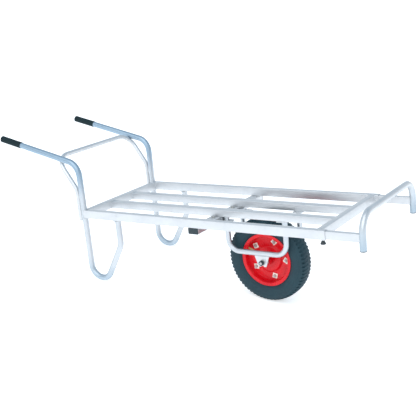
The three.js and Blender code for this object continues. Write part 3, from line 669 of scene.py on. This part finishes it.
CROSS_END = 236.2
REAR_X, FRONT_X = 11.0, 1130.5
for name, x in (("rear", REAR_X), ("front", FRONT_X)):
    rail = box_tube_rings(
        RAIL_W, RAIL_H, WALL, lambda a, b: -CROSS_END, lambda a, b: CROSS_END,
        lambda s, a, b: Vector((x + a, s, b - RAIL_H / 2)))
    Parts().add(rail, closed=True).make(
        f"{name}_cross_rail_look", "frame", "aluminium", ALUMINIUM, [f"{name}_cross_rail"])

SLAT_Y, SLAT_W, SLAT_H, SLAT_TOP = 76.0, 34.0, 29.5, -6.5
SLAT_FROM, SLAT_TO = 23.8, 1117.7
for side, sign in SIDES:
    slat = box_tube_rings(
        SLAT_W, SLAT_H, WALL, lambda a, b: SLAT_FROM, lambda a, b: SLAT_TO,
        lambda s, a, b: Vector((s, sign * SLAT_Y + a, b + SLAT_TOP - SLAT_H / 2)),
        corner=2.2)
    Parts().add(slat, closed=True).make(
        f"slat_{side}_look", "frame", "aluminium", ALUMINIUM, [f"slat_{side}"])

MEMBER_X, MEMBER_Z, MEMBER_END = 578.5, -48.8, 257.5
MEMBER_W, MEMBER_H = 46.0, 25.0
member = box_tube_rings(
    MEMBER_W, MEMBER_H, WALL, lambda a, b: -MEMBER_END, lambda a, b: MEMBER_END,
    lambda s, a, b: Vector((MEMBER_X + a, s, b + MEMBER_Z)))
Parts().add(member, closed=True).make(
    "wheel_cross_member_look", "frame", "aluminium", ALUMINIUM, ["wheel_cross_member"])

for side, sign in SIDES:
    rings = []
    for inset, y, radius in ((0.9, 4.0, 1.6), (0.25, 3.6, 2.2), (0.0, 2.9, 2.4), (0.0, 0.5, 2.4),
                             (0.2, 0.3, 2.2), (2.4, 0.3, 1.0), (2.4, -11.0, 1.0),
                             (3.4, -12.0, 0.8)):
        section = rounded(MEMBER_W - 2 * inset, MEMBER_H - 2 * inset, radius)
        rings.append([Vector((MEMBER_X + a, sign * (MEMBER_END + y), b + MEMBER_Z))
                      for a, b in section])
    Parts().add(rings).make(
        f"member_cap_{side}_look", "frame", "end_cap_rubber", CAP, [f"member_cap_{side}"])

# ------------------------------------------------------------------ plates


def plate_rings(width, depth, low, high, x, y, radius=3.0):
    edge = 0.4
    rings = []
    for z, inset in ((low, edge), (low + edge, 0), (high - edge, 0), (high, edge)):
        section = rounded(width - 2 * inset, depth - 2 * inset, radius)
        rings.append([Vector((x + a, y + b, z)) for a, b in section])
    return rings


for side, sign in SIDES:
    y = sign * POST_Y
    Parts().add(plate_rings(34, 20, -39.3, -36.3, 179.7, y)).make(
        f"leg_tab_{side}_look", "frame", "aluminium", ALUMINIUM, [f"leg_tab_{side}"])
    dome = turned([(4.5, 0.0), (4.5, 0.5), (4.1, 1.2), (3.1, 1.8), (1.7, 2.12), (0.5, 2.2)], 24)
    face = offset(LEG_X, sign * (POST_Y + 12.8), -16.0) @ Matrix.Rotation(
        -sign * math.pi / 2, 4, "X")
    Parts().add(dome, place=face).make(
        f"leg_rivet_{side}_look", "frame", "aluminium", ALUMINIUM, [f"leg_rivet_{side}"])
    Parts().add(plate_rings(68.5, 84, -65.6, -61.6, 599.75, sign * 76)).make(
        f"hanger_foot_plate_{side}_look", "frame", "aluminium", ALUMINIUM,
        [f"hanger_foot_plate_{side}"])
    Parts().add(plate_rings(42.2, 47.1, -40.3, -36.3, HANGER_FRONT, sign * 69.45)).make(
        f"hanger_top_plate_{side}_look", "frame", "aluminium", ALUMINIUM,
        [f"hanger_top_plate_{side}"])

WHEEL = centre_of("axle")
WHEEL_X, WHEEL_Z = WHEEL.x, WHEEL.z
for side, sign in SIDES:
    slot = [(6.3 * math.cos(a), WHEEL_Z + 6.3 * math.sin(a))
            for a in (math.pi * k / 12 for k in range(13))]
    top, bottom = -200.4, WHEEL_Z - 18
    outline = [(34, top), (-34, top)] + fillet(
        [(-34, top), (-18, bottom), (-6.3, bottom)], (0, 4, 0), closed=False)[1:]
    outline += slot[::-1]
    outline += fillet([(6.3, bottom), (18, bottom), (34, top)], (0, 4, 0), closed=False)[:-1]
    half = 2.5
    rings = [[Vector((WHEEL_X + x, sign * HANGER_Y + s * half, z)) for x, z in outline]
             for s in (-1, 1)]
    Parts().add(rings).make(
        f"axle_bracket_{side}_look", "frame", "aluminium", ALUMINIUM, [f"axle_bracket_{side}"],
        bevel=0.5)

# ------------------------------------------------------------------ guard plugs and lock knobs

KNOB_X = 1144.0
KNOB_LOBES, KNOB_SIDES = 16, 96
for side, sign in SIDES:
    plug = turned([(11.2, -68.8), (12.3, -68.5), (12.6, -67.9), (12.65, -66.7), (12.4, -66.3),
                   (9.8, -66.3), (9.8, -53.0), (9.2, -52.4)], 32,
                  offset(GUARD_X, sign * POST_Y, 0))
    Parts().add(plug).make(
        f"guard_plug_{side}_look", "guard", "black_plastic", PLASTIC, [f"guard_plug_{side}"])
    boss = turned([(6.5, -36.3), (6.5, -39.4), (6.1, -39.8), (3.4, -39.8), (3.4, -36.3)], 28,
                  offset(KNOB_X, sign * POST_Y, 0))
    Parts().add(boss, closed=True).make(
        f"lock_boss_{side}_look", "frame", "aluminium", ALUMINIUM, [f"lock_boss_{side}"])
    knob = []
    for radius, z, knurl in ((8.6, -55.1, 0), (9.9, -54.6, 0.2), (10.5, -53.6, 0.55),
                             (10.5, -51.6, 0.6), (10.3, -50.7, 0.5), (9.7, -49.9, 0.3),
                             (8.3, -47.4, 0.1), (6.6, -43.8, 0), (5.3, -41.0, 0), (4.6, -40.3, 0),
                             (3.05, -40.3, 0), (3.0, -39.0, 0), (2.9, -36.8, 0)):
        knob.append([
            Vector((r * math.cos(a), r * math.sin(a), z))
            for a, r in (
                (2 * math.pi * k / KNOB_SIDES,
                 radius - knurl * (0.5 - 0.5 * math.cos(
                     KNOB_LOBES * 2 * math.pi * k / KNOB_SIDES)))
                for k in range(KNOB_SIDES))
        ])
    Parts().add(knob, place=offset(KNOB_X, sign * POST_Y, 0)).make(
        f"lock_knob_{side}_look", f"knob_{side}", "black_plastic", PLASTIC, [f"lock_knob_{side}"])

# ------------------------------------------------------------------ cross member bolts

for i, y in enumerate((108, 44, -44, -108), 1):
    parts = Parts()
    here = offset(MEMBER_X, y, 0)
    parts.add(turned([(8.2, -36.3), (8.2, -35.0), (7.9, -34.8), (4.0, -34.8)], 32), place=here)
    parts.add(hexed(13, -34.9, -30.6), place=here)
    parts.add(turned([(4.0, -62.0), (4.0, -34.0)], 16), place=here)
    parts.add(turned([(4.2, -65.7), (8.2, -65.7), (8.2, -67.0), (7.9, -67.2), (4.2, -67.2)], 32),
              place=here)
    under = here @ offset(0, 0, -72.4)
    parts.add(hexed(13, 0, 5.3), place=under)
    parts.add(threaded(4.0, -3.0, 8.0), place=under)
    parts.make(f"member_bolt_{i}_look", "frame", "zinc_steel", BOLT, [f"member_bolt_{i}"])

# ------------------------------------------------------------------ axle

AXLE_PLACE = offset(*WHEEL) @ Matrix.Rotation(-math.pi / 2, 4, "X")
axle = turned([(4.9, -79.1), (5.9, -78.4), (6.0, -76.0), (6.0, 76.0), (5.9, 78.4), (4.9, 79.1)],
              32)
Parts().add(axle, place=AXLE_PLACE).make("axle_look", "frame", "zinc_steel", BOLT, ["axle"])
for side, sign in SIDES:
    out = AXLE_PLACE if sign > 0 else AXLE_PLACE @ Matrix.Rotation(math.pi, 4, "X")
    spacer = turned([(6.3, 40.4), (8.7, 40.4), (9.0, 40.7), (9.0, 58.9), (8.7, 59.2), (6.3, 59.2)],
                    32)
    Parts().add(spacer, closed=True, place=out).make(
        f"axle_spacer_{side}_look", "frame", "zinc_steel", BOLT, [f"axle_spacer_{side}"])
    washer = turned([(6.3, 64.8), (12.7, 64.8), (13.0, 65.1), (13.0, 67.0), (12.7, 67.3),
                     (6.3, 67.3)], 40)
    Parts().add(washer, closed=True, place=out).make(
        f"axle_washer_{side}_look", "frame", "zinc_steel", BOLT, [f"axle_washer_{side}"])
    nut = hexed(19, 67.6, 77.6, 1.3)
    bore = turned([(6.15, 77.6), (6.15, 67.6)], 48)
    Parts().add(nut + bore, closed=True, place=out).make(
        f"axle_nut_{side}_look", "frame", "dark_steel", DARK, [f"axle_nut_{side}"])

# ------------------------------------------------------------------ tyre

TYRE_R, TYRE_HALF, FLANGE_R = 179.45, 41.0, 113.8
LUGS = 66
PHASES = (0.03, 0.25, 0.47, 0.53, 0.75, 0.97)
SLANT = 0.4


def spline(points, steps):
    """A smooth line through points."""
    made = []
    for i in range(len(points) - 1):
        p0 = Vector(points[max(i - 1, 0)])
        p1, p2 = Vector(points[i]), Vector(points[i + 1])
        p3 = Vector(points[min(i + 2, len(points) - 1)])
        for k in range(steps):
            t = k / steps
            made.append(0.5 * (2 * p1 + (p2 - p0) * t + (2 * p0 - 5 * p1 + 4 * p2 - p3) * t * t
                               + (3 * p1 - p0 - 3 * p2 + p3) * t ** 3))
    made.append(Vector(points[-1]))
    return made


def smooth(value, low, high):
    t = min(max((value - low) / (high - low), 0.0), 1.0)
    return t * t * (3 - 2 * t)


def tyre():
    rise = TYRE_R - FLANGE_R
    half = [(FLANGE_R - 9, 29.7), (FLANGE_R + 0.2, 29.75), (FLANGE_R + 0.06 * rise, 33.5),
            (FLANGE_R + 0.14 * rise, 37.0), (FLANGE_R + 0.27 * rise, 40.0),
            (FLANGE_R + 0.41 * rise, TYRE_HALF), (FLANGE_R + 0.56 * rise, 40.6),
            (FLANGE_R + 0.72 * rise, 38.6), (FLANGE_R + 0.865 * rise, 34.6),
            (FLANGE_R + 0.95 * rise, 28.0), (TYRE_R - 1.0, 19.0), (TYRE_R - 0.2, 8.5),
            (TYRE_R, 0.0)]
    line = spline(half, 4)
    line += [Vector((p.x, -p.y)) for p in reversed(line[:-1])]
    inner = [(166.0, 16.0), (161.0, 27.0), (146.0, 36.0), (122.0, 31.5), (112.0, 21.5),
             (FLANGE_R - 9, 21.0)]
    loop = [(r, -y) for r, y in inner[::-1]] + [(167.0, 0.0)] + inner
    rings = []
    for i, p in enumerate(line):
        before, after = line[max(i - 1, 0)], line[min(i + 1, len(line) - 1)]
        along = (after - before).normalized()
        out = Vector((-along.y, along.x))
        if out.x * (p.x - 150) + out.y * p.y < 0:
            out = -out
        reach = abs(p.y)
        share = (p.x - FLANGE_R) / rise
        # grooves run from high on the shoulder to a rib in the middle of the tread
        depth = (1.8 + 2.6 * smooth(reach, 24.0, 30.0)) * (
            smooth(share, 0.80, 0.90) * smooth(reach, 4.5, 7.5))
        rib = 0.8 * (math.exp(-((share - 0.20) / 0.03) ** 2)
                     + math.exp(-((share - 0.60) / 0.018) ** 2))
        shift = SLANT * min(reach, 34.0) / 34.0 if share > 0.9 else SLANT
        ring = []
        for lug in range(LUGS):
            for k, phase in enumerate(PHASES):
                cut = k >= 3 if p.y > 0 else k < 3
                r = p + out * (min(rib, TYRE_HALF - reach) if share < 0.62 else 0)
                if cut:
                    r = r - out * depth
                angle = 2 * math.pi * (lug + phase + shift) / LUGS
                ring.append(Vector((r.x * math.cos(angle), r.x * math.sin(angle), r.y)))
        rings.append(ring)
    for radius, y in loop:
        rings.append([Vector((radius * math.cos(a), radius * math.sin(a), y))
                      for a in (2 * math.pi * (lug + phase + SLANT) / LUGS
                                for lug in range(LUGS) for phase in PHASES)])
    return rings


Parts().add(tyre(), closed=True, place=AXLE_PLACE).make(
    "tyre_look", "wheel", "tyre", TYRE, ["tyre"], sharp=34)

# ------------------------------------------------------------------ rim, hub and their fittings

rim_outline = [(22.3, 9), (52.2, 9), (60.3, 0.15), (95.6, 0.15), (100.6, 10), (101.1, 30),
               (113.5, 30), (113.5, 32), (98.6, 32), (98.6, 11), (94.6, 2.15), (61.3, 2.15),
               (53.2, 11), (22.3, 11)]
rim_radii = (0.3, 3, 3, 4, 4, 2.2, 0.9, 0.9, 4.4, 6, 3, 3, 3, 0.8)
rim_profile = fillet(rim_outline, rim_radii, 5)
for side, sign in SIDES:
    out = AXLE_PLACE if sign > 0 else AXLE_PLACE @ Matrix.Rotation(math.pi, 4, "X")
    Parts().add(turned(rim_profile, 120), closed=True, place=out).make(
        f"rim_half_{side}_look", "wheel", "red_paint", RED, [f"rim_half_{side}"], sharp=60)

hub = fillet([(9, -29.4), (16.3, -29.4), (16.3, -40), (22, -40), (22, 40), (16.3, 40),
              (16.3, 29.4), (9, 29.4)], (0, 0, 0.6, 0.8, 0.8, 0.6, 0, 0), 3)
Parts().add(turned(hub, 64), closed=True, place=AXLE_PLACE).make(
    "hub_look", "wheel", "red_paint", RED, ["hub"])
for side, sign in SIDES:
    out = AXLE_PLACE if sign > 0 else AXLE_PLACE @ Matrix.Rotation(math.pi, 4, "X")
    race = fillet([(6.35, 29.7), (16, 29.7), (16, 39.7), (14.4, 39.7), (14.2, 39.2), (9.0, 39.2),
                   (8.8, 39.7), (6.35, 39.7)], (0, 0, 0.4, 0.2, 0, 0, 0.2, 0.3), 2)
    Parts().add(turned(race, 48), closed=True, place=out).make(
        f"bearing_{side}_look", "wheel", "bearing_steel", BEARING, [f"bearing_{side}"])

RIM_BOLT_R, WASHER_TURN = 77.9, 0.5
for i in range(5):
    spoke = math.radians(-3) + 2 * math.pi * i / 5
    turn = spoke - WASHER_TURN
    here = (
        offset(WHEEL_X + RIM_BOLT_R * math.cos(spoke), WHEEL.y,
               WHEEL_Z + RIM_BOLT_R * math.sin(spoke))
        @ Matrix.Rotation(-turn, 4, "Y")
        @ Matrix.Rotation(-math.pi / 2, 4, "X")
    )
    for suffix, material, parts in (("washers", ZINC, Parts()), ("look", BOLT, Parts())):
        for sign in (1, -1):
            out = here if sign > 0 else here @ Matrix.Rotation(math.pi, 4, "X")
            if suffix == "washers":
                rings = []
                for z, inset in ((2.45, 0.3), (2.8, 0.0), (4.0, 0.0), (4.35, 0.4)):
                    rings.append([Vector((a, b, z)) for a, b in
                                  rounded(21.9 - 2 * inset, 21.9 - 2 * inset, 1.0)])
                parts.add(rings, place=out)
            elif sign > 0:
                parts.add(hexed(13, 4.4, 9.4), place=out)
            else:
                parts.add(hexed(13, 4.4, 10.3), place=out)
                parts.add(threaded(4.0, 5.0, 13.2), place=out)
        parts.make(f"rim_bolt_{i + 1}_{suffix}", "wheel", "zinc_steel", material,
                   [f"rim_bolt_{i + 1}"])

valve = centre_of("valve_stem")
VALVE_ANGLE = math.atan2(valve.z - WHEEL_Z, valve.x - WHEEL_X)
VALVE_PLACE = offset(*valve) @ Matrix.Rotation(-math.pi / 2 - VALVE_ANGLE, 4, "Y")
stem = [(2.2, -22.0), (2.9, -21.4), (3.0, -14.5), (3.4, -14.2), (3.9, -13.9), (3.9, -8.5)]
z = -8.2
while z < 6.0:
    stem += [(3.55, z), (3.95, z + 0.45)]
    z += 0.9
stem += [(3.9, 7.0), (3.9, 21.0), (3.5, 21.9)]
Parts().add(turned(stem, 24), place=VALVE_PLACE).make(
    "valve_stem_look", "wheel", "valve_brass", BRASS, ["valve_stem"])

# ------------------------------------------------------------------ welds


BEAD_STEP = 0.85


def bead(path, radius, sides=7, pitch=3.4):
    """A rippled weld bead along a line of points, tapering at its ends."""
    points = [Vector(p) for p in path]
    fine = [points[0]]
    for a, b in zip(points, points[1:]):
        count = max(1, round((b - a).length / BEAD_STEP))
        fine += [a.lerp(b, k / count) for k in range(1, count + 1)]
    headings = [(fine[min(i + 1, len(fine) - 1)] - fine[max(i - 1, 0)]).normalized()
                for i in range(len(fine))]
    total = len(fine) * BEAD_STEP
    rings = []
    for i, (point, a, b) in enumerate(frames(list(zip(fine, headings)))):
        s = i * BEAD_STEP
        r = radius * (0.9 + 0.14 * math.cos(2 * math.pi * s / pitch)
                      + 0.12 * noise.noise(point * 0.13))
        r *= 0.45 + 0.55 * min(1.0, s / 3.0, (total - s) / 3.0)
        rings.append([point + a * (r * math.cos(t)) + b * (r * math.sin(t))
                      for t in (2 * math.pi * k / sides for k in range(sides))])
    return rings


def arc(x, y, z, radius, start, end, steps=24):
    return [(x + radius * math.cos(math.radians(start + (end - start) * k / steps)),
             y + radius * math.sin(math.radians(start + (end - start) * k / steps)), z)
            for k in range(steps + 1)]


frame_welds, guard_welds = Parts(), Parts()
for side, sign in SIDES:
    y = sign * POST_Y
    lines = [
        # corner posts in the rails
        (arc(0, y, 0.2, 13.3, -sign * 97, sign * 74), 1.7),
        (arc(0, y, -36.2, 13.3, -sign * 97, sign * 74), 1.7),
        ([(3.4, y + sign * 12.4, -1), (3.4, y + sign * 12.4, -35)], 1.5),
        # brace feet and handles
        ([(-12.9, y + 5.2, -45), (-12.9, y + 5.2, -24)], 1.8),
        ([(-12.9, y - 5.2, -45), (-12.9, y - 5.2, -24)], 1.8),
        ([(-12.9, y + 5.2, 46), (-12.9, y + 5.2, 72)], 1.8),
        ([(-12.9, y - 5.2, 46), (-12.9, y - 5.2, 72)], 1.8),
        # cross rails on the side rails
        ([(0, sign * 236.4, -0.1), (23, sign * 236.4, -0.1)], 1.1),
        ([(FRONT_X - 12, sign * 236.4, -0.1), (FRONT_X + 12, sign * 236.4, -0.1)], 1.1),
        ([(23.7, sign * 236.0, -1), (23.7, sign * 236.0, -35)], 1.8),
        ([(FRONT_X - 12.8, sign * 236.0, -1), (FRONT_X - 12.8, sign * 236.0, -35)], 1.8),
        ([(FRONT_X + 12.8, sign * 236.0, -1), (FRONT_X + 12.8, sign * 236.0, -35)], 1.8),
        # leg loop's front end
        (arc(LEG_X, y, -39.5, 13.2, 0, 360), 1.7),
        ([(164, y + 9.8, -36.4), (196, y + 9.8, -36.4)], 1.2),
        ([(164, y - 9.8, -36.4), (196, y - 9.8, -36.4)], 1.2),
        # hanger to its plates, plates to the slat
        (arc(HANGER_FRONT, sign * HANGER_Y, -40.5, 11.7, 0, 360), 1.7),
        (arc(HANGER_REAR, sign * HANGER_Y, -65.8, 11.7, 0, 360), 1.7),
        ([(866, sign * 92.9, -36.6), (904, sign * 92.9, -36.6)], 1.4),
        ([(866, sign * 59.2, -36.4), (904, sign * 59.2, -36.4)], 1.4),
    ]
    for edge in (-2.6, 2.6):
        # the bracket's top along the hanger's underside
        lines.append(([(WHEEL_X - 32, sign * HANGER_Y + edge, -200.4),
                       (WHEEL_X + 32, sign * HANGER_Y + edge, -200.4)], 1.7))
    for end in (SLAT_FROM - 0.1, SLAT_TO + 0.1):
        lines.append(([(end, sign * SLAT_Y - 16, -6.7), (end, sign * SLAT_Y + 16, -6.7)], 1.6))
        for edge in (-16.8, 16.8):
            lines.append(([(end, sign * SLAT_Y + edge, -8), (end, sign * SLAT_Y + edge, -34)],
                          1.5))
    # the brace's top bend under the handle
    slope_x, slope_z = -math.cos(HANDLE_SLOPE), math.sin(HANDLE_SLOPE)
    for edge in (-1, 1):
        run = []
        for k in range(9):
            s = 74 + 4.5 * k
            run.append((slope_x * s - 0.98 * slope_z * 11.6,
                        y + edge * 5.4,
                        HANDLE_TOP + slope_z * s + slope_x * 11.6))
        lines.append((run, 1.8))
    for path, radius in lines:
        frame_welds.add(bead(path, radius))
    for edge in (-1, 1):
        guard_welds.add(bead([(1290.6, y + edge * 9.8, -4), (1290.6, y + edge * 9.8, -32)], 1.7))
    for z in (-2.7, -33.3):
        guard_welds.add(bead(arc(GUARD_X, y, z, 13.2, 180 - 47, 180 + 47), 1.6))
frame_welds.make("welds_frame", "frame", "aluminium", WELD, sharp=70)
guard_welds.make("welds_guard", "guard", "aluminium", WELD, sharp=70)

# ------------------------------------------------------------------ what stays from the CAD

tube = frame["nodes"]["inner_tube"]
tube.data.materials.clear()
tube.data.materials.append(BUTYL)
tube.data.shade_smooth()

# ------------------------------------------------------------------ floor, light and camera


def floor():
    size = 40.0
    mesh = bpy.data.meshes.new("floor")
    mesh.from_pydata([(-size, -size, 0), (size, -size, 0), (size, size, 0), (-size, size, 0)],
                     [], [(0, 1, 2, 3)])
    n = Nodes("floor_paint")
    cloud = n.noise(n.coords("Object", (1.0, 1.0, 1.0)), 1.5, 3.0)
    n.finish(
        Base_Color=n.ramp(cloud, ((0.3, (0.88, 0.89, 0.90)), (0.7, (0.91, 0.92, 0.93)))),
        Roughness=0.9,
        Specular_IOR_Level=0.1,
        Emission_Color=(1.0, 0.99, 0.985, 1.0),
        Emission_Strength=0.5,
    )
    mesh.materials.append(n.material)
    obj = bpy.data.objects.new("floor", mesh)
    bpy.context.scene.collection.objects.link(obj)


def light(name, kind, energy, color, place, target=(0.0, 0.0, 0.25), **settings):
    data = bpy.data.lights.new(name, kind)
    data.energy = energy
    data.color = color
    for key, value in settings.items():
        setattr(data, key, value)
    obj = bpy.data.objects.new(name, data)
    obj.location = place
    obj.rotation_euler = (Vector(target) - Vector(place)).to_track_quat("-Z", "Y").to_euler()
    obj.visible_camera = False
    bpy.context.scene.collection.objects.link(obj)


floor()
light("sun", "SUN", 1.5, (1.0, 0.985, 0.96), (0.2, -2.6, 3.6), angle=math.radians(75))

world = bpy.data.worlds.new("studio")
bpy.context.scene.world = world
world.use_nodes = True
sky = world.node_tree
direction = sky.nodes.new("ShaderNodeTexCoord").outputs["Generated"]
height = sky.nodes.new("ShaderNodeSeparateXYZ")
shade = sky.nodes.new("ShaderNodeValToRGB")
sky.links.new(direction, height.inputs[0])
sky.links.new(height.outputs["Z"], shade.inputs["Fac"])
sky.links.new(shade.outputs["Color"], sky.nodes["Background"].inputs["Color"])
for element, (place, color) in zip(
    (shade.color_ramp.elements[0], shade.color_ramp.elements.new(0.35),
     shade.color_ramp.elements[-1]),
    ((0.05, (0.97, 0.975, 0.985)), (0.40, (0.72, 0.83, 0.93)), (0.95, (0.42, 0.54, 0.66)))):
    element.position = place
    element.color = (*color, 1.0)
sky.nodes["Background"].inputs["Strength"].default_value = 1.0

CAMERA_PLACE = (1.914, -2.846, 1.508)
CAMERA_TURN = (71.0, -0.226, 33.1)
camera = bpy.data.cameras.new("camera")
camera.lens = 72.5
camera.sensor_width = 36.0
camera.clip_start = 0.05
camera.clip_end = 200.0
viewer = bpy.data.objects.new("camera", camera)
viewer.location = CAMERA_PLACE
viewer.rotation_euler = [math.radians(a) for a in CAMERA_TURN]
bpy.context.scene.collection.objects.link(viewer)
bpy.context.scene.camera = viewer
bpy.context.scene.view_settings.view_transform = "Standard"
